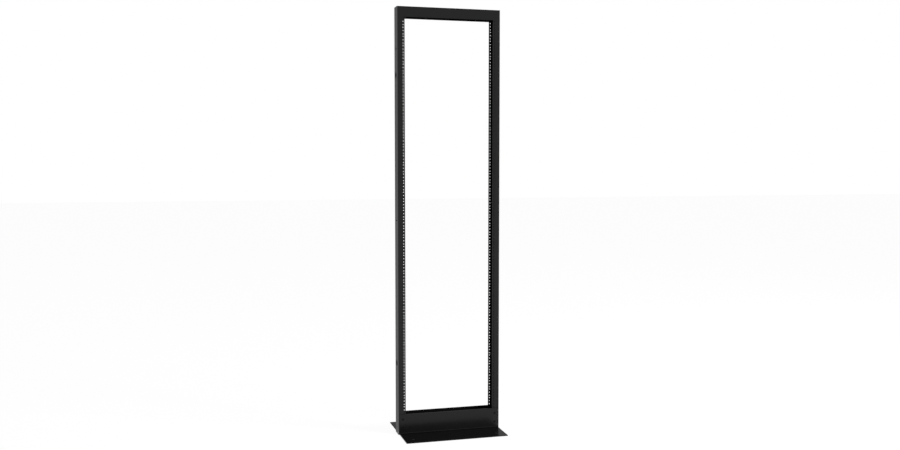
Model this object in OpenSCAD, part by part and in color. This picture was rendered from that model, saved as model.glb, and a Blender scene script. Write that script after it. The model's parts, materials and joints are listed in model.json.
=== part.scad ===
// Two post open frame equipment rack, folded from sheet steel.
// Two channel posts with a top channel across them stand on a pair of bolted base angles.
// +X is to the right, +Y to the back, +Z up. The origin is on the floor, at the middle of the base.

/* [Rack] */
// Panel space, in rack units
rack_units = 44; // [42:1:48]
// Clear width between the flanges of the two posts
opening_w = 450; // [448:0.5:452]
// Depth of the base, from the front edge to the rear edge
base_depth = 389; // [340:1:480]

/* [Posts] */
// Depth of a post, over its two flanges
post_depth = 70; // [60:1:90]
// Width of a post flange, from the outer face of the web to the free edge
flange_w = 37; // [34:0.5:45]
// Sheet thickness of the posts and the top channel
post_sheet = 2.7; // [2:0.1:3.5]
// Inside radius of the bends of the posts and the top channel
post_bend_r = 2.3; // [1.5:0.1:3.5]

/* [Panel holes] */
// Diameter of a tapped panel hole
panel_hole_d = 5.5; // [4:0.1:7]
// Distance of the panel holes from the free edge of a flange
panel_hole_inset = 7.55; // [6:0.05:12]

/* [Top channel] */
// Height of the top channel
top_h = 50.8; // [40:0.1:80]
// Clearance between the ends of the top web and the post webs
weld_gap = 0.3; // [0.1:0.1:0.5]

/* [Base angles] */
// Height of the upright leg of a base angle
base_h = 101.6; // [95:0.1:140]
// Sheet thickness of the base angles
base_sheet = 4; // [3:0.1:5]
// Inside radius of the bend of a base angle
base_bend_r = 4; // [3:0.1:6]
// Open seam between a base angle and the lower edge of a post flange
seam_gap = 2; // [1:0.1:3]
// Clearance between the ends of a base angle and the post bends beside them
base_end_gap = 0.3; // [0.2:0.1:0.8]

/* [Base brackets] */
// Sheet thickness of the brackets inside the post feet
bracket_sheet = 2.7; // [2:0.1:3]
// Inside radius of the bends of a bracket
bracket_bend_r = 2.3; // [1.5:0.1:2.5]
// Height of a bracket's ends above the floor and below the top of the base angles
bracket_inset = 10; // [8:0.5:14]

/* [Base bolts] */
// Diameter of the clearance holes for the base bolts
base_bolt_d = 6.8; // [5.5:0.1:7]
// Distance of the upper bolts below the top of a base angle
upper_bolt_drop = 25.4; // [22:0.1:30]
// Vertical distance between the two bolts at each end of a base angle
bolt_rise = 44.45; // [35:0.05:50]
// Distance of the base angle bolts from the outer face of a post
bolt_inset = 22; // [20:0.5:25]
// Distance between the two bolts in the side of each post foot
side_bolt_spacing = 44; // [34:1:44]

/* [Floor anchors] */
// Diameter of the floor anchor holes
anchor_hole_d = 14; // [10:0.5:18]
// Distance of the anchor holes from the sides of the foot
anchor_side_inset = 50; // [30:1:90]
// Distance of the anchor holes from the front or rear edge of the foot
anchor_edge_inset = 50; // [25:1:80]

/* [Side openings] */
// Diameter of the round cable holes in the post webs
cable_hole_d = 28; // [20:0.5:36]
// Height of the lower cable hole above the floor
cable_hole_low = 355.6; // [200:0.1:600]
// Distance of the upper cable hole below the top
cable_hole_drop = 330.2; // [250:0.1:600]
// Length of the strap slots across the post webs
strap_slot_l = 50; // [30:1:50]
// Width of a strap slot
strap_slot_w = 3; // [2:0.1:6]
// Height of the middle strap slot above the floor
strap_slot_mid = 1066.8; // [900:0.1:1200]
// Distance of the upper strap slot below the top
strap_slot_drop = 203.2; // [120:0.1:230]

/* [Hidden] */
$fn = 48;

// Universal panel hole spacing: three holes in every rack unit
unit_h = 44.45;
unit_hole_offsets = [6.35, 22.225, 38.1];

// Overall sizes
panel_space_h = rack_units * unit_h;
overall_h = base_h + panel_space_h + top_h;
overall_w = opening_w + 2 * flange_w;
panel_space_top = base_h + panel_space_h;
column_spacing = opening_w + 2 * panel_hole_inset;

// Bends
post_outer_r = post_bend_r + post_sheet;

// Faces that neighbouring pieces share
post_front = post_depth / 2;
post_web_inside = overall_w / 2 - post_sheet;
post_bend_end = overall_w / 2 - post_outer_r;

// Length by which a cutter runs past what it cuts
over = 1;

// Rounded end of a strip: a rectangle on +X whose two corners on the Y axis are rounded.
module rounded_end(length, breadth, r) {
    translate([r, -breadth / 2])
        square([length - r, breadth]);
    translate([0, r - breadth / 2])
        square([length, breadth - 2 * r]);
    for (side = [-1, 1])
        translate([r, side * (breadth / 2 - r)])
            circle(r);
}

// Section of a folded channel: its web lies on the Y axis and its flanges run to +X.
module channel_section(breadth, width, sheet, bend_r) {
    difference() {
        rounded_end(width, breadth, bend_r + sheet);
        translate([sheet, 0])
            rounded_end(width, breadth - 2 * sheet, bend_r);
    }
}

// Section of a folded angle: its upright leg stands on the Y axis and its foot runs to +X.
// The bend's inner radius faces up and out, its outer radius down and back.
module angle_section(leg, foot, sheet, bend_r) {
    outer_r = bend_r + sheet;
    translate([0, outer_r])
        square([sheet, leg - outer_r]);
    translate([outer_r, 0])
        square([foot - outer_r, sheet]);
    intersection() {
        square(outer_r);
        translate([outer_r, outer_r])
            difference() {
                circle(outer_r);
                circle(bend_r);
            }
    }
}

// Heights of all the panel holes above the floor.
panel_hole_heights = [
    for (unit = [0 : rack_units - 1], offset = unit_hole_offsets)
        base_h + unit * unit_h + offset
];

// Drills through both flanges of the left post, one for each pair of panel holes.
module panel_hole_drills() {
    for (height = panel_hole_heights)
        translate([-column_spacing / 2, 0, height])
            rotate([90, 0, 0])
                cylinder(d = panel_hole_d, h = post_depth + 2 * over, center = true);
}

// Drill of a cable hole through a web that stands across the X axis.
module cable_hole_drill() {
    rotate([0, 90, 0])
        cylinder(d = cable_hole_d, h = post_sheet + 2 * over, center = true);
}

// Round-ended cutter of a strap slot, along Y.
module strap_slot_cutter() {
    straight = strap_slot_l - strap_slot_w;
    rotate([0, 90, 0])
        linear_extrude(height = post_sheet + 2 * over, center = true) {
            square([strap_slot_w, straight], center = true);
            for (side = [-1, 1])
                translate([0, side * straight / 2])
                    circle(d = strap_slot_w);
        }
}

// Cable holes and strap slots of the left post.
module side_cutters() {
    translate([post_sheet / 2 - overall_w / 2, 0, 0]) {
        for (height = [cable_hole_low, overall_h - cable_hole_drop])
            translate([0, 0, height])
                cable_hole_drill();
        for (height = [strap_slot_mid, overall_h - strap_slot_drop])
            translate([0, 0, height])
                strap_slot_cutter();
    }
}

// Drills for the bolts that join the left bracket to the base angles, through front and rear.
module base_angle_bolt_drills() {
    for (drop = [upper_bolt_drop, upper_bolt_drop + bolt_rise])
        translate([bolt_inset - overall_w / 2, 0, base_h - drop])
            rotate([90, 0, 0])
                cylinder(d = base_bolt_d, h = post_depth + 2 * over, center = true);
}

// Drills for the bolts that join the left bracket to the web of the left post.
module side_bolt_drills() {
    reach = post_sheet + bracket_sheet + 2 * over;
    for (side = [-1, 1])
        translate([-overall_w / 2 - over, side * side_bolt_spacing / 2, base_h - upper_bolt_drop])
            rotate([0, 90, 0])
                cylinder(d = base_bolt_d, h = reach);
}

// Outline of the rack's top seen from the side, with the bends of the top channel.
// The upper corners of the posts are ground to it.
module top_outline() {
    rotate([0, 0, -90])
        rounded_end(overall_h + over, post_depth, post_outer_r);
}

// Left post: a channel whose flanges stop at the base angles and at the top channel.
module left_post() {
    color([0.16, 0.16, 0.17])
    difference() {
        intersection() {
            translate([-overall_w / 2, 0, 0])
                linear_extrude(height = overall_h)
                    channel_section(post_depth, flange_w, post_sheet, post_bend_r);
            translate([0, 0, overall_h])
                rotate([90, 0, 90])
                    linear_extrude(height = 2 * overall_w, center = true)
                        top_outline();
        }
        translate([-post_bend_end, -post_depth, -over])
            cube([flange_w, 2 * post_depth, base_h + seam_gap + over]);
        translate([-post_bend_end, -post_depth, panel_space_top])
            cube([flange_w, 2 * post_depth, top_h + over]);
        panel_hole_drills();
        side_cutters();
        side_bolt_drills();
    }
}

// Right post: the mirror image of the left one.
module right_post() {
    mirror([1, 0, 0])
        left_post();
}

// Top channel: open underneath, between the bends of the posts, with a web that reaches
// to the post webs.
module top_channel() {
    color([0.16, 0.16, 0.17])
    translate([0, 0, overall_h]) {
        rotate([90, 0, 90])
            linear_extrude(height = 2 * post_bend_end, center = true)
                rotate([0, 0, -90])
                    channel_section(post_depth, top_h, post_sheet, post_bend_r);
        translate([0, 0, -post_sheet / 2])
            cube([2 * (post_web_inside - weld_gap), post_depth - 2 * post_outer_r, post_sheet],
                center = true);
    }
}

// Front base angle: its upright leg closes the post feet between the bends of the posts, flush
// with their flanges, and its foot runs forward on the floor.
module front_base_angle() {
    angle_w = 2 * (post_bend_end - base_end_gap);
    foot_l = base_depth / 2 - post_front + base_sheet;
    color([0.2, 0.2, 0.21])
    difference() {
        translate([0, base_sheet - post_front, 0])
            rotate([90, 0, -90])
                linear_extrude(height = angle_w, center = true)
                    angle_section(base_h, foot_l, base_sheet, base_bend_r);
        for (side = [0, 1])
            mirror([side, 0, 0])
                base_angle_bolt_drills();
        for (side = [-1, 1])
            translate([
                side * (overall_w / 2 - anchor_side_inset),
                anchor_edge_inset - base_depth / 2,
                -over
            ])
                cylinder(d = anchor_hole_d, h = base_sheet + 2 * over);
    }
}

// Rear base angle: the mirror image of the front one.
module rear_base_angle() {
    mirror([0, 1, 0])
        front_base_angle();
}

// Left base bracket: a short channel in the foot of the left post, whose flanges back the ends
// of the base angles and whose web backs the post web.
module left_base_bracket() {
    color([0.26, 0.26, 0.27])
    difference() {
        translate([-post_web_inside, 0, bracket_inset])
            linear_extrude(height = base_h - 2 * bracket_inset)
                channel_section(
                    post_depth - 2 * base_sheet, flange_w - post_sheet,
                    bracket_sheet, bracket_bend_r
                );
        base_angle_bolt_drills();
        side_bolt_drills();
    }
}

// Right base bracket: the mirror image of the left one.
module right_base_bracket() {
    mirror([1, 0, 0])
        left_base_bracket();
}

left_post();
right_post();
top_channel();
front_base_angle();
rear_base_angle();
left_base_bracket();
right_base_bracket();
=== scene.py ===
"""Dresses the two post open frame rack: powder coat, screws, nuts, threads, welds, camera and light."""

import json
import logging
import math
from collections.abc import Callable, Sequence
from dataclasses import dataclass, field
from enum import Enum

import bmesh
import bpy
from mathutils import Euler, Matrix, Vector

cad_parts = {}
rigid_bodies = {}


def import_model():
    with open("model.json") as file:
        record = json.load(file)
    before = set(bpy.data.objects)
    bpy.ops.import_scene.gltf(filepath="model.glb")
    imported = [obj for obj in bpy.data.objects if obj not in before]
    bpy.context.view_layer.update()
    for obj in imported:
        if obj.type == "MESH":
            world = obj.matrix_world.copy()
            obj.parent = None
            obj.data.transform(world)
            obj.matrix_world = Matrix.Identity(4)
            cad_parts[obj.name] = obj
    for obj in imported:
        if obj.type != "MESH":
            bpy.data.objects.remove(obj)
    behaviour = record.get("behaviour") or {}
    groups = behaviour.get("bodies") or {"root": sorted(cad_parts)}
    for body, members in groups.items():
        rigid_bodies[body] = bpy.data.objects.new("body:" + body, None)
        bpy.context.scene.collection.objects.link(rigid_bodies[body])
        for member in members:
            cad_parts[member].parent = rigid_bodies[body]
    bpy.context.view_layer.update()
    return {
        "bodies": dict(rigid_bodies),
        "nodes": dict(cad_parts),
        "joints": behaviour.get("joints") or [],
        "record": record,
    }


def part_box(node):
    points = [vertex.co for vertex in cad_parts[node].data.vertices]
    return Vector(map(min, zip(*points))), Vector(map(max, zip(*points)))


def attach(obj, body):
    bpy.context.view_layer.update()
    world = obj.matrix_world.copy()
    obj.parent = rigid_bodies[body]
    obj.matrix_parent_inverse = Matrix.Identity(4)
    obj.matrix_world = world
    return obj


LOG = logging.getLogger("rack")
IMAGE_WIDTH = 900
MM = 0.001


class Side(Enum):
    """The two posts, by the sign of their X."""

    LEFT = -1
    RIGHT = 1


class Face(Enum):
    """The two faces of the rack, by the sign of their Y."""

    FRONT = -1
    REAR = 1


class Aim(Enum):
    """The way a fastener's head looks, as a turn of a head that looks along +Z."""

    FRONT = (math.pi / 2, 0.0, 0.0)
    REAR = (-math.pi / 2, 0.0, 0.0)
    LEFT = (0.0, -math.pi / 2, 0.0)
    RIGHT = (0.0, math.pi / 2, 0.0)


# ---------------------------------------------------------------------------------------------
# Shader maths
# ---------------------------------------------------------------------------------------------


@dataclass(frozen=True)
class Value:
    """A node's output, with the operators that add Math nodes."""

    sheet: "NodeSheet"
    socket: bpy.types.NodeSocket

    def _math(self, operation: str, first: "Value | float", second: "Value | float") -> "Value":
        """Adds one Math node.

        Args:
            operation: The node's operation.
            first: Its first operand.
            second: Its second operand.

        Returns:
            The node's output.
        """
        return self.sheet.node("ShaderNodeMath", {"operation": operation}, {0: first, 1: second})

    def __add__(self, other: "Value | float") -> "Value":
        """Sum."""
        return self._math("ADD", self, other)

    def __radd__(self, other: float) -> "Value":
        """Sum, from the right."""
        return self._math("ADD", other, self)

    def __sub__(self, other: "Value | float") -> "Value":
        """Difference."""
        return self._math("SUBTRACT", self, other)

    def __rsub__(self, other: float) -> "Value":
        """Difference, from the right."""
        return self._math("SUBTRACT", other, self)

    def __mul__(self, other: "Value | float") -> "Value":
        """Product."""
        return self._math("MULTIPLY", self, other)

    def __rmul__(self, other: float) -> "Value":
        """Product, from the right."""
        return self._math("MULTIPLY", other, self)

    def ramp(self, start: float, end: float) -> "Value":
        """A smooth step from 0 at start to 1 at end.

        Args:
            start: The value that gives 0.
            end: The value that gives 1.

        Returns:
            The step.
        """
        settings = {"interpolation_type": "SMOOTHSTEP", "clamp": True}
        return self.sheet.node("ShaderNodeMapRange", settings, {0: self, 1: start, 2: end})


class NodeSheet:
    """A node tree that is written as expressions."""

    def __init__(self, tree: bpy.types.NodeTree) -> None:
        """Empties the tree.

        Args:
            tree: The node tree of a material or a world.
        """
        self.tree = tree
        tree.nodes.clear()

    def node(
        self,
        kind: str,
        settings: dict[str, object] | None = None,
        inputs: dict[str | int, object] | None = None,
        output: str | int = 0,
    ) -> Value:
        """Adds a node.

        Args:
            kind: The node's type.
            settings: Its properties, which are set before its sockets.
            inputs: A value or a link for each named or numbered input.
            output: The output to return.

        Returns:
            That output.
        """
        made = self.tree.nodes.new(kind)
        for name, setting in (settings or {}).items():
            setattr(made, name, setting)
        for key, value in (inputs or {}).items():
            if isinstance(value, Value):
                self.tree.links.new(value.socket, made.inputs[key])
            else:
                made.inputs[key].default_value = value
        return Value(self, made.outputs[output] if len(made.outputs) else None)

    def place(self) -> Value:
        """Object coordinates, in metres."""
        return self.node("ShaderNodeTexCoord", output="Object")

    def noise(self, scale: float, detail: float, roughness: float = 0.5) -> Value:
        """Noise over the piece.

        Args:
            scale: Features in a metre.
            detail: Octaves.
            roughness: How much the finer octaves count.

        Returns:
            The noise, from 0 to 1.
        """
        inputs = {"Vector": self.place(), "Scale": scale, "Detail": detail, "Roughness": roughness}
        return self.node("ShaderNodeTexNoise", inputs=inputs)

    def blend(self, factor: Value, first: Sequence[float], second: Sequence[float]) -> Value:
        """Mixes two colours.

        Args:
            factor: 0 for the first colour and 1 for the second.
            first: The first colour.
            second: The second colour.

        Returns:
            The mixed colour.
        """
        return self.node(
            "ShaderNodeMix",
            {"data_type": "RGBA"},
            {0: factor, 6: (*first, 1.0), 7: (*second, 1.0)},
            output=2,
        )


# ---------------------------------------------------------------------------------------------
# Finishes
# ---------------------------------------------------------------------------------------------


@dataclass(frozen=True)
class PowderCoat:
    """Black satin powder coat on steel: a fine orange peel under an even gloss, faintly dusted."""

    name: str
    colour: tuple[float, float, float] = (0.0135, 0.0135, 0.0145)
    dust: tuple[float, float, float] = (0.024, 0.0235, 0.023)
    gloss_roughness: float = 0.22
    peel_height: float = 0.03 * MM

    def material(self) -> bpy.types.Material:
        """Makes the finish.

        Returns:
            The material.
        """
        made = bpy.data.materials.new(self.name)
        made.use_nodes = True
        sheet = NodeSheet(made.node_tree)
        peel = sheet.noise(520.0, 2.0)
        grain = sheet.noise(2600.0, 3.0, 0.6)
        cloud = sheet.noise(7.0, 3.0, 0.55)
        specks = sheet.noise(900.0, 2.0, 0.7).ramp(0.66, 0.78) * cloud.ramp(0.42, 0.68)
        colour = sheet.blend(cloud.ramp(0.3, 0.7) * 0.25 + specks * 0.35, self.colour, self.dust)
        height = peel * 0.7 + grain * 0.3
        bump = sheet.node(
            "ShaderNodeBump",
            inputs={"Strength": 0.35, "Distance": self.peel_height, "Height": height},
        )
        roughness = self.gloss_roughness + (cloud - 0.5) * 0.1 + (grain - 0.5) * 0.06 + specks * 0.12
        shader = sheet.node(
            "ShaderNodeBsdfPrincipled",
            inputs={"Base Color": colour, "Roughness": roughness, "Metallic": 0.0, "Normal": bump},
        )
        sheet.node("ShaderNodeOutputMaterial", inputs={"Surface": shader})
        return made


@dataclass(frozen=True)
class BlackOxide:
    """Black oxide on a steel fastener: darker than the coat, oily, with bare steel in worn patches."""

    name: str
    colour: tuple[float, float, float] = (0.009, 0.009, 0.0105)
    worn: tuple[float, float, float] = (0.035, 0.034, 0.034)

    def material(self) -> bpy.types.Material:
        """Makes the finish.

        Returns:
            The material.
        """
        made = bpy.data.materials.new(self.name)
        made.use_nodes = True
        sheet = NodeSheet(made.node_tree)
        wear = sheet.noise(1400.0, 4.0, 0.65).ramp(0.52, 0.74)
        turning = sheet.node(
            "ShaderNodeTexWave",
            {"wave_type": "RINGS"},
            {"Vector": sheet.place(), "Scale": 900.0, "Distortion": 2.0, "Detail": 2.0},
        )
        bump = sheet.node(
            "ShaderNodeBump",
            inputs={"Strength": 0.3, "Distance": 0.01 * MM, "Height": turning * 0.5 + wear * 0.5},
        )
        shader = sheet.node(
            "ShaderNodeBsdfPrincipled",
            inputs={
                "Base Color": sheet.blend(wear * 0.6, self.colour, self.worn),
                "Roughness": 0.34 + wear * 0.14,
                "Metallic": 0.25,
                "Normal": bump,
            },
        )
        sheet.node("ShaderNodeOutputMaterial", inputs={"Surface": shader})
        return made


@dataclass(frozen=True)
class RoomTone:
    """How bright the room looks in the coat, by direction.

    It is even in front and behind, brighter at the left and dim at the right and above.
    """

    level: float = 0.45
    left_gain: float = 2.6
    right_loss: float = 0.9
    above_loss: float = 0.8
    back_loss: float = 0.3

    def strength(self, sheet: NodeSheet, direction: Value) -> Value:
        """Works out the brightness.

        Args:
            sheet: The node tree.
            direction: A direction of length 1.

        Returns:
            The brightness seen in that direction.
        """
        x, y, z = (
            sheet.node("ShaderNodeSeparateXYZ", inputs={0: direction}, output=axis) for axis in "XYZ"
        )
        left = (0.0 - x).ramp(0.2, 1.0) * (1.0 - (0.0 - y).ramp(0.0, 0.35))
        right = (x + y * 0.35).ramp(0.2, 0.5) * (1.0 - z.ramp(0.08, 0.22))
        tone = self.level * (1.0 + self.left_gain * left) * (1.0 - self.right_loss * right)
        tone = tone * (1.0 - self.back_loss * y.ramp(0.0, 1.0))
        return tone * (1.0 - self.above_loss * z.ramp(0.1, 0.7))


@dataclass(frozen=True)
class PaleFloor:
    """A pale floor that looks white to the camera and keeps a soft shadow."""

    rack_half_width: float
    name: str = "pale_floor"
    shown: float = 0.945
    albedo: float = 0.32

    def material(self) -> bpy.types.Material:
        """Makes the floor's material.

        Returns:
            The material.
        """
        made = bpy.data.materials.new(self.name)
        made.use_nodes = True
        sheet = NodeSheet(made.node_tree)
        camera = sheet.node("ShaderNodeLightPath", output="Is Camera Ray")
        glossy = sheet.node("ShaderNodeLightPath", output="Is Glossy Ray")
        through = sheet.node("ShaderNodeLightPath", output="Is Transmission Ray")
        x, y = (
            sheet.node("ShaderNodeSeparateXYZ", inputs={0: sheet.place()}, output=axis) for axis in "XY"
        )
        under = sheet.node(
            "ShaderNodeClamp",
            inputs={"Value": x, "Min": -self.rack_half_width, "Max": self.rack_half_width},
        )
        away = sheet.node("ShaderNodeCombineXYZ", inputs={"X": x - under, "Y": y})
        outward = sheet.node("ShaderNodeVectorMath", {"operation": "NORMALIZE"}, {0: away})
        mirrored = RoomTone().strength(sheet, outward)
        strength = (camera + through) * self.shown + glossy * mirrored
        mottle = sheet.noise(1.5, 2.0)
        tone = sheet.blend(mottle, (self.albedo,) * 3, (self.albedo * 0.97,) * 3)
        glow = sheet.node("ShaderNodeEmission", inputs={"Strength": strength})
        matt = sheet.node("ShaderNodeBsdfDiffuse", inputs={"Color": tone})
        both = sheet.node("ShaderNodeAddShader", inputs={0: glow, 1: matt})
        sheet.node("ShaderNodeOutputMaterial", inputs={"Surface": both})
        return made


@dataclass(frozen=True)
class Finishes:
    """The finishes of the rack, made once."""

    coat: bpy.types.Material
    fastener: bpy.types.Material
    thread: bpy.types.Material
    weld: bpy.types.Material

    @classmethod
    def make(cls) -> "Finishes":
        """Makes them all.

        Returns:
            The finishes.
        """
        return cls(
            coat=PowderCoat("black_powder_coat").material(),
            fastener=BlackOxide("black_oxide_steel").material(),
            thread=PowderCoat("coated_thread", gloss_roughness=0.42).material(),
            weld=PowderCoat("coated_weld", gloss_roughness=0.36, peel_height=0.06 * MM).material(),
        )


# ---------------------------------------------------------------------------------------------
# Modelling helpers
# ---------------------------------------------------------------------------------------------


def clear_selection() -> None:
    """Leaves edit mode and deselects everything."""
    if bpy.context.mode != "OBJECT":
        bpy.ops.object.mode_set(mode="OBJECT")
    bpy.ops.object.select_all(action="DESELECT")


def pick(*objects: bpy.types.Object) -> None:
    """Selects these objects alone and makes the first one active.

    Args:
        *objects: The objects.
    """
    clear_selection()
    for thing in objects:
        thing.select_set(True)
    bpy.context.view_layer.objects.active = objects[0]


def cylinder(name: str, radius: float, low: float, high: float, vertices: int) -> bpy.types.Object:
    """Adds an upright cylinder or prism.

    Args:
        name: The object's name.
        radius: The radius over its corners.
        low: The height of its lower end.
        high: The height of its upper end.
        vertices: The number of its sides.

    Returns:
        The object, alone in the selection.
    """
    clear_selection()
    bpy.ops.mesh.primitive_cylinder_add(
        vertices=vertices, radius=radius, depth=high - low, location=(0.0, 0.0, (low + high) / 2)
    )
    made = bpy.context.active_object
    made.name = name
    bpy.ops.object.transform_apply(location=True, rotation=True, scale=True)
    return made


def edit_edges(piece: bpy.types.Object, chosen: Callable[[bmesh.types.BMEdge], bool]) -> int:
    """Enters edit mode with the chosen edges selected, and nothing else.

    Args:
        piece: The object to edit.
        chosen: The test that an edge has to pass.

    Returns:
        The number of edges chosen.
    """
    pick(piece)
    bpy.ops.object.mode_set(mode="EDIT")
    bpy.ops.mesh.select_mode(type="EDGE")
    bpy.ops.mesh.select_all(action="DESELECT")
    mesh = bmesh.from_edit_mesh(piece.data)
    count = 0
    for edge in mesh.edges:
        if chosen(edge):
            edge.select_set(True)
            count += 1
    bmesh.update_edit_mesh(piece.data)
    return count


def select_level(piece: bpy.types.Object, height: float) -> None:
    """Enters edit mode with the edges that lie at one height selected.

    Args:
        piece: The object to edit.
        height: The height of the edges.
    """
    tolerance = 0.001 * MM
    edit_edges(piece, lambda edge: all(abs(v.co.z - height) < tolerance for v in edge.verts))


def bevel_rim(piece: bpy.types.Object, height: float, width: float, segments: int) -> None:
    """Rounds the edges of a piece that lie at one height.

    Args:
        piece: The object.
        height: The height of the edges.
        width: The width of the bevel.
        segments: The number of its segments.
    """
    select_level(piece, height)
    bpy.ops.mesh.bevel(offset=width, offset_type="OFFSET", segments=segments, profile=0.5)
    bpy.ops.object.mode_set(mode="OBJECT")


def cut(piece: bpy.types.Object, cutter: bpy.types.Object) -> None:
    """Takes the cutter out of the piece and removes the cutter.

    Args:
        piece: The object that is cut.
        cutter: The object that cuts it.
    """
    modifier = piece.modifiers.new("cut", "BOOLEAN")
    modifier.operation = "DIFFERENCE"
    modifier.solver = "EXACT"
    modifier.object = cutter
    pick(piece)
    bpy.ops.object.modifier_apply(modifier=modifier.name)
    bpy.data.objects.remove(cutter)


def soften(piece: bpy.types.Object, width: float, angle: float = 40.0) -> None:
    """Puts a small bevel on the sharp edges and smooths the faces between them.

    Args:
        piece: The object.
        width: The width of the bevel.
        angle: The angle past which an edge is sharp, in degrees.
    """
    modifier = piece.modifiers.new("soften", "BEVEL")
    modifier.width = width
    modifier.segments = 2
    modifier.limit_method = "ANGLE"
    modifier.angle_limit = math.radians(angle)
    pick(piece)
    bpy.ops.object.modifier_apply(modifier=modifier.name)
    bpy.ops.object.shade_smooth_by_angle(angle=math.radians(angle))


def join(name: str, parts: Sequence[bpy.types.Object]) -> bpy.types.Object:
    """Joins objects into one.

    Args:
        name: The name of the joined object.
        parts: The objects.

    Returns:
        The joined object.
    """
    pick(*parts)
    if len(parts) > 1:
        bpy.ops.object.join()
    parts[0].name = name
    return parts[0]


def set_down(
    piece: bpy.types.Object, place: Sequence[float], turn: Sequence[float] = (0.0, 0.0, 0.0)
) -> bpy.types.Object:
    """Turns and moves a piece, and applies both to its mesh.

    Args:
        piece: The object.
        place: The place of its origin.
        turn: Its Euler turn.

    Returns:
        The object.
    """
    piece.location = Vector(place)
    piece.rotation_euler = Euler(turn)
    pick(piece)
    bpy.ops.object.transform_apply(location=True, rotation=True, scale=True)
    return piece


def twin(piece: bpy.types.Object, name: str) -> bpy.types.Object:
    """Copies a piece with a mesh of its own.

    Args:
        piece: The object to copy.
        name: The copy's name.

    Returns:
        The copy.
    """
    made = piece.copy()
    made.data = piece.data.copy()
    made.name = name
    bpy.context.collection.objects.link(made)
    return made


def fit(piece: bpy.types.Object, material: bpy.types.Material) -> None:
    """Gives a piece its finish and lets it ride on the rack.

    Args:
        piece: The object.
        material: Its finish.
    """
    piece.data.materials.clear()
    piece.data.materials.append(material)
    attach(piece, "root")


# ---------------------------------------------------------------------------------------------
# The frame
# ---------------------------------------------------------------------------------------------


@dataclass(frozen=True)
class Layout:
    """Places on the rack, read from its nodes and mounts, in metres."""

    half_width: float
    half_depth: float
    height: float
    base_height: float
    panel_top: float
    column_x: float
    first_hole: float
    panel_hole_radius: float
    flange_tip: float

    @classmethod
    def read(cls, frame: dict) -> "Layout":
        """Reads the places from the loaded frame.


        Returns:
            The layout.
        """
        mounts = {mount["name"]: mount for mount in frame["record"]["mounts"]}
        lowest = mounts["panel_bolts_bottom"]
        post_low, post_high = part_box("left_post")
        return cls(
            half_width=-post_low.x,
            half_depth=post_high.y,
            height=post_high.z,
            base_height=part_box("front_base_angle")[1].z,
            panel_top=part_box("top_channel")[0].z,
            column_x=lowest["dims"]["spacing_x_mm"] * MM / 2,
            first_hole=lowest["pos_m"][2] - lowest["dims"]["spacing_y_mm"] * MM / 2,
            panel_hole_radius=lowest["dims"]["hole_r_mm"] * MM,
            flange_tip=-post_high.x,
        )


@dataclass
class SteelFrame:
    """The posts, top channel, base angles and brackets, which keep their own shapes."""

    nodes: dict[str, bpy.types.Object]

    def dress(self, finishes: Finishes) -> None:
        """Coats every node.

        Args:
            finishes: The rack's finishes.
        """
        for node in self.nodes.values():
            node.data.materials.clear()
            node.data.materials.append(finishes.coat)
        LOG.info("frame: %d nodes coated", len(self.nodes))


# ---------------------------------------------------------------------------------------------
# Threads of the panel holes
# ---------------------------------------------------------------------------------------------


@dataclass
class ThreadCoil:
    """The ridge of a screw thread, along +Z."""

    wall_radius: float
    crest_radius: float
    pitch: float
    turns: float
    steps_per_turn: int = 10
    fullness: float = 0.84

    def build(self, name: str) -> bpy.types.Object:
        """Models the ridge as a three-sided section that a Screw modifier winds up.

        Args:
            name: The object's name.

        Returns:
            The coil, from z = 0 up.
        """
        clear_selection()
        bpy.ops.mesh.primitive_circle_add(vertices=3, radius=1.0, fill_type="NOTHING")
        coil = bpy.context.active_object
        coil.name = name
        half = self.pitch * self.fullness / 2
        height = self.wall_radius - self.crest_radius
        coil.scale = (half / math.sin(math.pi / 3), height / 1.5, 1.0)
        set_down(coil, (0.0, 0.0, 0.0), (0.0, 0.0, math.pi / 2))
        set_down(coil, (self.wall_radius - height / 3, 0.0, half), (math.pi / 2, 0.0, 0.0))
        wind = coil.modifiers.new("wind", "SCREW")
        wind.angle = 2 * math.pi * self.turns
        wind.screw_offset = self.pitch * self.turns
        wind.steps = round(self.steps_per_turn * self.turns)
        wind.render_steps = wind.steps
        wind.use_merge_vertices = False
        wind.use_smooth_shade = False
        pick(coil)
        bpy.ops.object.modifier_apply(modifier=wind.name)
        bpy.ops.object.mode_set(mode="EDIT")
        bpy.ops.mesh.select_all(action="SELECT")
        bpy.ops.mesh.remove_doubles(threshold=0.001 * MM)
        bpy.ops.mesh.select_all(action="DESELECT")
        bpy.ops.mesh.select_mode(type="EDGE")
        bpy.ops.mesh.select_non_manifold()
        bpy.ops.mesh.edge_face_add()
        bpy.ops.mesh.select_all(action="SELECT")
        bpy.ops.mesh.normals_make_consistent(inside=False)
        bpy.ops.object.mode_set(mode="OBJECT")
        return coil


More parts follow.
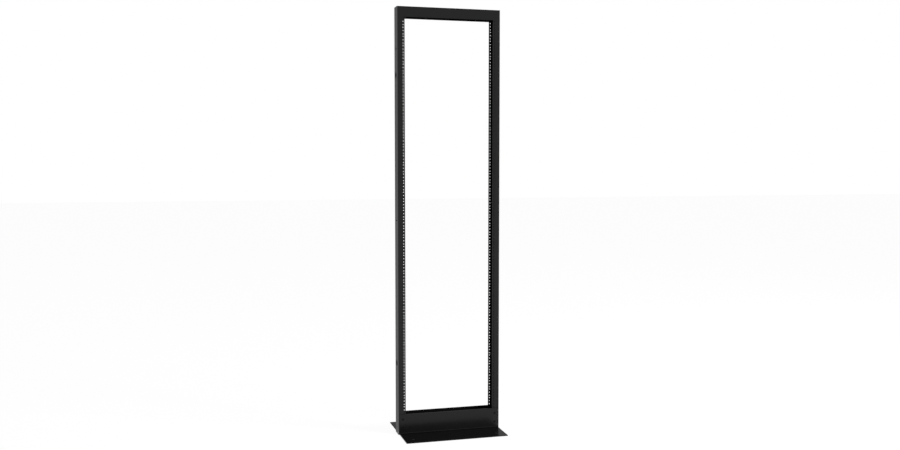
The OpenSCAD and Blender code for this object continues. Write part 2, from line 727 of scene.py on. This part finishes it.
@dataclass
class PanelThreads:
    """The threads in the four columns of tapped panel holes."""

    layout: Layout
    unit: float = 44.45 * MM
    steps: tuple[float, ...] = (0.0, 15.875 * MM, 31.75 * MM)
    pitch: float = 1.06 * MM
    depth: float = 0.54 * MM
    bite: float = 0.02 * MM
    run_out: float = 0.9
    sheet: float = 2.7 * MM
    columns: list[bpy.types.Object] = field(default_factory=list)

    def _column(self) -> bpy.types.Object:
        """Models one column: a unit's three coils, repeated up the post.

        Returns:
            The column, whose lowest coil sits at the origin.
        """
        radius = self.layout.panel_hole_radius
        turns = (self.sheet - self.run_out * self.pitch) / self.pitch
        coil = ThreadCoil(radius + self.bite, radius - self.depth, self.pitch, turns).build("coil")
        set_down(coil, (0.0, self.sheet, 0.0), (math.pi / 2, 0.0, 0.0))
        unit = [coil] + [set_down(twin(coil, "coil"), (0.0, 0.0, step)) for step in self.steps[1:]]
        column = join("column", unit)
        repeat = column.modifiers.new("units", "ARRAY")
        repeat.use_relative_offset = False
        repeat.use_constant_offset = True
        repeat.constant_offset_displace = (0.0, 0.0, self.unit)
        space = self.layout.panel_top - self.layout.base_height
        repeat.count = round(space / self.unit)
        pick(column)
        bpy.ops.object.modifier_apply(modifier=repeat.name)
        return column

    def build(self) -> None:
        """Models the four columns."""
        column = self._column()
        for side in Side:
            for face in Face:
                made = twin(column, f"panel_threads_{side.name.lower()}_{face.name.lower()}")
                rear_y = self.layout.half_depth - self.sheet
                y = rear_y if face is Face.REAR else -self.layout.half_depth
                set_down(made, (side.value * self.layout.column_x, y, self.layout.first_hole))
                self.columns.append(made)
        bpy.data.objects.remove(column)

    def dress(self, finishes: Finishes) -> None:
        """Coats the threads.

        Args:
            finishes: The rack's finishes.
        """
        for column in self.columns:
            fit(column, finishes.thread)
            LOG.info("%s: %d faces", column.name, len(column.data.polygons))


# ---------------------------------------------------------------------------------------------
# Base screws and nuts
# ---------------------------------------------------------------------------------------------


@dataclass(frozen=True)
class Joint:
    """One screw through two sheets of the base."""

    name: str
    place: tuple[float, float, float]
    aim: Aim
    length: float
    slot: str
    has_nut: bool = False


@dataclass
class BaseScrews:
    """Button head screws with hexagon sockets.

    Those of the base angles have hexagon nuts behind the brackets. Those of the post sides have their
    heads inside the brackets and end a little below the posts' outer faces.
    """

    layout: Layout
    thread_radius: float = 3.0 * MM
    head_radius: float = 5.6 * MM
    head_height: float = 3.1 * MM
    socket_radius: float = 2.35 * MM
    socket_depth: float = 2.0 * MM
    nut_flats: float = 10.0 * MM
    nut_height: float = 5.0 * MM
    tail: float = 2.2 * MM
    base_grip: float = 6.7 * MM
    side_grip: float = 5.4 * MM
    recess: float = 0.3 * MM
    upper_drop: float = 25.4 * MM
    level_drop: float = 44.45 * MM
    column_inset: float = 22.0 * MM
    side_spacing: float = 44.0 * MM
    thread_pitch: float = MM
    core: float = 0.86
    dome: float = 0.62
    point: float = 0.5 * MM
    pieces: list[tuple[bpy.types.Object, str]] = field(default_factory=list)

    def joints(self) -> list[Joint]:
        """Works out where the screws go.

        Returns:
            The screws of the base angles and of the post sides.
        """
        upper = self.layout.base_height - self.upper_drop
        heights = {"upper": upper, "lower": upper - self.level_drop}
        column = self.layout.half_width - self.column_inset
        inside = self.layout.half_width - self.side_grip
        made = []
        for side in Side:
            where = side.name.lower()
            inward = Aim.LEFT if side is Side.RIGHT else Aim.RIGHT
            for face in Face:
                for level, height in heights.items():
                    made.append(
                        Joint(
                            f"{face.name.lower()}_{where}_{level}",
                            (side.value * column, face.value * self.layout.half_depth, height),
                            Aim[face.name],
                            self.base_grip + self.nut_height + self.tail,
                            "base",
                            has_nut=True,
                        )
                    )
                made.append(
                    Joint(
                        f"side_{where}_{face.name.lower()}",
                        (side.value * inside, face.value * self.side_spacing / 2, upper),
                        inward,
                        self.side_grip - self.recess,
                        "post",
                    )
                )
        return made

    def _screw(self, length: float) -> bpy.types.Object:
        """Models a screw that looks along +Z, with the underside of its head at z = 0.

        Args:
            length: The length under its head.

        Returns:
            The screw.
        """
        head = cylinder("head", self.head_radius, 0.0, self.head_height, 40)
        bevel_rim(head, self.head_height, self.dome * self.head_height, 6)
        floor = self.head_height - self.socket_depth
        cut(head, cylinder("socket", self.socket_radius, floor, self.head_height + MM, 6))
        soften(head, 0.12 * MM)
        shank = cylinder("shank", self.core * self.thread_radius, -length, 0.2 * MM, 24)
        bevel_rim(shank, -length, self.point, 2)
        thread = ThreadCoil(0.85 * self.thread_radius, self.thread_radius, MM, length / MM - 1.6, 16)
        coil = set_down(thread.build("thread"), (0.0, 0.0, 0.4 * MM - length))
        return join("screw", [head, shank, coil])

    def _nut(self, grip: float) -> bpy.types.Object:
        """Models the nut of a screw that looks along +Z.

        Args:
            grip: The thickness of the sheets that the screw clamps.

        Returns:
            The nut, under the sheets.
        """
        corners = self.nut_flats / math.sqrt(3.0)
        nut = cylinder("nut", corners, -grip - self.nut_height, -grip, 6)
        cut(nut, cylinder("bore", 1.02 * self.thread_radius, -grip - 2 * self.nut_height, 0.0, 24))
        soften(nut, 0.45 * MM, 50.0)
        return nut

    def build(self) -> None:
        """Models one screw of each length and one nut, and copies them to their places."""
        nut = self._nut(self.base_grip)
        screws: dict[float, bpy.types.Object] = {}
        for joint in self.joints():
            if joint.length not in screws:
                screws[joint.length] = self._screw(joint.length)
            masters = {"screw": screws[joint.length]}
            if joint.has_nut:
                masters["nut"] = nut
            for part, master in masters.items():
                piece = twin(master, f"base_{part}_{joint.name}")
                set_down(piece, joint.place, joint.aim.value)
                self.pieces.append((piece, joint.slot))
        for master in (nut, *screws.values()):
            bpy.data.objects.remove(master)

    def dress(self, finishes: Finishes) -> None:
        """Finishes the fasteners.

        Args:
            finishes: The rack's finishes.
        """
        for piece, slot in self.pieces:
            fit(piece, finishes.fastener)
        LOG.info("base screws and nuts: %d pieces", len(self.pieces))


# ---------------------------------------------------------------------------------------------
# Welds of the posts
# ---------------------------------------------------------------------------------------------


@dataclass
class PostWelds:
    """The beads inside the top corners, and those that fill the seams under the posts' flanges."""

    layout: Layout
    corner_radius: float = 2.0 * MM
    seam_radius: float = 1.6 * MM
    seam_gap: float = 2.0 * MM
    seam_recess: float = 2.0 * MM
    end_gap: float = 2.0 * MM
    web_gap: float = 3.0 * MM
    end_swell: float = 0.55
    valley: float = 0.86
    ripple: float = 1.6 * MM
    sheet: float = 2.7 * MM
    bend: float = 5.0 * MM
    pieces: list[bpy.types.Object] = field(default_factory=list)

    def _bead(self, name: str, length: float, radius: float) -> bpy.types.Object:
        """Models a bead along Z: a bar with a ring of ripples and rounded ends.

        Args:
            name: The object's name.
            length: The bead's length.
            radius: The radius of its swells.

        Returns:
            The bead, from z = 0 up.
        """
        bead = cylinder(name, radius, 0.0, length, 14)
        rings = max(4, 2 * round(length / self.ripple / 2))
        pick(bead)
        bpy.ops.object.mode_set(mode="EDIT")
        for ring in range(1, rings):
            bpy.ops.mesh.select_all(action="SELECT")
            bpy.ops.mesh.bisect(
                plane_co=(0.0, 0.0, length * ring / rings), plane_no=(0.0, 0.0, 1.0), use_fill=False
            )
        for ring in range(rings + 1):
            swell = self.end_swell if ring in (0, rings) else (1.0 if ring % 2 else self.valley)
            level = length * ring / rings
            select_level(bead, level)
            bpy.ops.transform.resize(value=(swell, swell, 1.0), center_override=(0.0, 0.0, level))
        bpy.ops.object.mode_set(mode="OBJECT")
        bpy.ops.object.shade_smooth_by_angle(angle=math.radians(60.0))
        return bead

    def _corner(self, side: Side) -> bpy.types.Object:
        """Models the beads of one top corner.

        Args:
            side: The post.

        Returns:
            The beads, as one piece.
        """
        seam_x = self.layout.half_width - self.bend
        inner_y = self.layout.half_depth - self.sheet
        seam_z = self.layout.panel_top
        web_z = self.layout.height - self.sheet
        lie = (0.0, side.value * math.pi / 2, 0.0)
        beads = []
        for face in Face:
            reach = seam_x - self.layout.flange_tip - self.end_gap
            across = self._bead("across", reach, self.corner_radius)
            start = side.value * (self.layout.flange_tip + self.end_gap / 2)
            beads.append(set_down(across, (start, face.value * inner_y, seam_z), lie))
            upright = self._bead("upright", web_z - seam_z - self.web_gap, self.corner_radius)
            beads.append(set_down(upright, (side.value * seam_x, face.value * inner_y, seam_z)))
        span = 2 * (self.layout.half_depth - self.bend) - self.end_gap
        corner = self._bead("corner", span, self.corner_radius)
        place = (side.value * (self.layout.half_width - self.sheet), span / 2, web_z)
        beads.append(set_down(corner, place, (math.pi / 2, 0.0, 0.0)))
        return join(f"corner_welds_{side.name.lower()}", beads)

    def _foot(self, side: Side) -> bpy.types.Object:
        """Models the beads in the seams between a post's flanges and the base angles.

        Args:
            side: The post.

        Returns:
            The beads, as one piece.
        """
        length = self.layout.half_width - self.bend - self.layout.flange_tip
        height = self.layout.base_height + self.seam_gap / 2
        beads = []
        for face in Face:
            bead = self._bead("seam", length, self.seam_radius)
            inset = self.layout.half_depth - self.seam_recess
            place = (side.value * self.layout.flange_tip, face.value * inset, height)
            beads.append(set_down(bead, place, (0.0, side.value * math.pi / 2, 0.0)))
        return join(f"foot_welds_{side.name.lower()}", beads)

    def build(self) -> None:
        """Models the beads of both posts."""
        for side in Side:
            self.pieces += [self._corner(side), self._foot(side)]

    def dress(self, finishes: Finishes) -> None:
        """Coats the beads.

        Args:
            finishes: The rack's finishes.
        """
        for piece in self.pieces:
            fit(piece, finishes.weld)
            LOG.info("%s: %d faces", piece.name, len(piece.data.polygons))


# ---------------------------------------------------------------------------------------------
# Studio
# ---------------------------------------------------------------------------------------------


@dataclass(frozen=True)
class StudioRoom:
    """The light that comes from all round, white to the camera."""

    soft_level: float = 0.1

    def light(self) -> None:
        """Sets the scene's world."""
        world = bpy.data.worlds.new("studio_room")
        bpy.context.scene.world = world
        world.use_nodes = True
        sheet = NodeSheet(world.node_tree)
        direction = sheet.node("ShaderNodeTexCoord", output="Generated")
        room = RoomTone().strength(sheet, direction)
        camera = sheet.node("ShaderNodeLightPath", output="Is Camera Ray")
        through = sheet.node("ShaderNodeLightPath", output="Is Transmission Ray")
        glossy = sheet.node("ShaderNodeLightPath", output="Is Glossy Ray")
        seen = camera + through
        strength = seen + (1.0 - seen) * (glossy * room + (1.0 - glossy) * self.soft_level)
        glow = sheet.node(
            "ShaderNodeBackground", inputs={"Color": (1.0, 1.0, 1.0, 1.0), "Strength": strength}
        )
        sheet.node("ShaderNodeOutputWorld", inputs={"Surface": glow})


@dataclass(frozen=True)
class Studio:
    """The floor, the lamp, the room and the camera."""

    layout: Layout
    floor_size: float = 60.0
    focal_pixels: float = 961.8
    camera_place: tuple[float, float, float] = (-1.2675, -4.6383, 1.354)
    camera_yaw: float = 15.43
    camera_pitch: float = -3.74

    def build(self) -> None:
        """Lays the floor and sets up the light and the camera."""
        self._floor()
        StudioRoom().light()
        self._lamp("key_lamp", (5.2, -4.0, 2.6), 2.4, 180.0)
        self._camera()
        bpy.context.scene.view_settings.view_transform = "Standard"

    def _floor(self) -> None:
        """Lays the pale floor under the feet."""
        clear_selection()
        bpy.ops.mesh.primitive_plane_add(size=self.floor_size, location=(0.0, 0.0, -0.1 * MM))
        floor = bpy.context.active_object
        floor.name = "floor"
        bpy.ops.object.transform_apply(location=True, rotation=True, scale=True)
        floor.data.materials.append(PaleFloor(self.layout.half_width).material())

    def _lamp(self, name: str, place: Sequence[float], size: float, power: float) -> None:
        """Adds a square soft lamp that looks at the middle of the rack.

        Args:
            name: The lamp's name.
            place: Its place.
            size: The length of its sides.
            power: Its power, in watts.
        """
        lamp = bpy.data.lights.new(name, "AREA")
        lamp.shape = "SQUARE"
        lamp.size = size
        lamp.energy = power
        holder = bpy.data.objects.new(name, lamp)
        holder.location = Vector(place)
        holder.visible_glossy = False
        target = Vector((0.0, 0.0, self.layout.height / 2))
        holder.rotation_euler = (target - holder.location).to_track_quat("-Z", "Y").to_euler()
        bpy.context.collection.objects.link(holder)

    def _camera(self) -> None:
        """Sets the camera up at eye height, a little to the left of the rack."""
        lens = bpy.data.cameras.new("camera")
        lens.sensor_fit = "HORIZONTAL"
        lens.sensor_width = 36.0
        lens.lens = self.focal_pixels / IMAGE_WIDTH * lens.sensor_width
        camera = bpy.data.objects.new("camera", lens)
        camera.location = Vector(self.camera_place)
        turn = (math.radians(90.0 + self.camera_pitch), 0.0, -math.radians(self.camera_yaw))
        camera.rotation_euler = Euler(turn)
        bpy.context.collection.objects.link(camera)
        bpy.context.scene.camera = camera


def corners(box: tuple[Vector, Vector]) -> list[list[float]]:
    """Writes a box as plain numbers.

    Args:
        box: The lowest and the highest corner.

    Returns:
        Both corners as lists.
    """
    return [[float(value) for value in corner] for corner in box]


def main() -> None:
    """Builds and dresses the rack and its studio, in order."""
    logging.basicConfig(level=logging.INFO, format="%(name)s: %(message)s")
    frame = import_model()
    layout = Layout.read(frame)
    finishes = Finishes.make()
    SteelFrame(frame["nodes"]).dress(finishes)
    for assembly in (PanelThreads(layout), BaseScrews(layout), PostWelds(layout)):
        assembly.build()
        assembly.dress(finishes)
    Studio(layout).build()


if __name__ == "__main__":
    main()
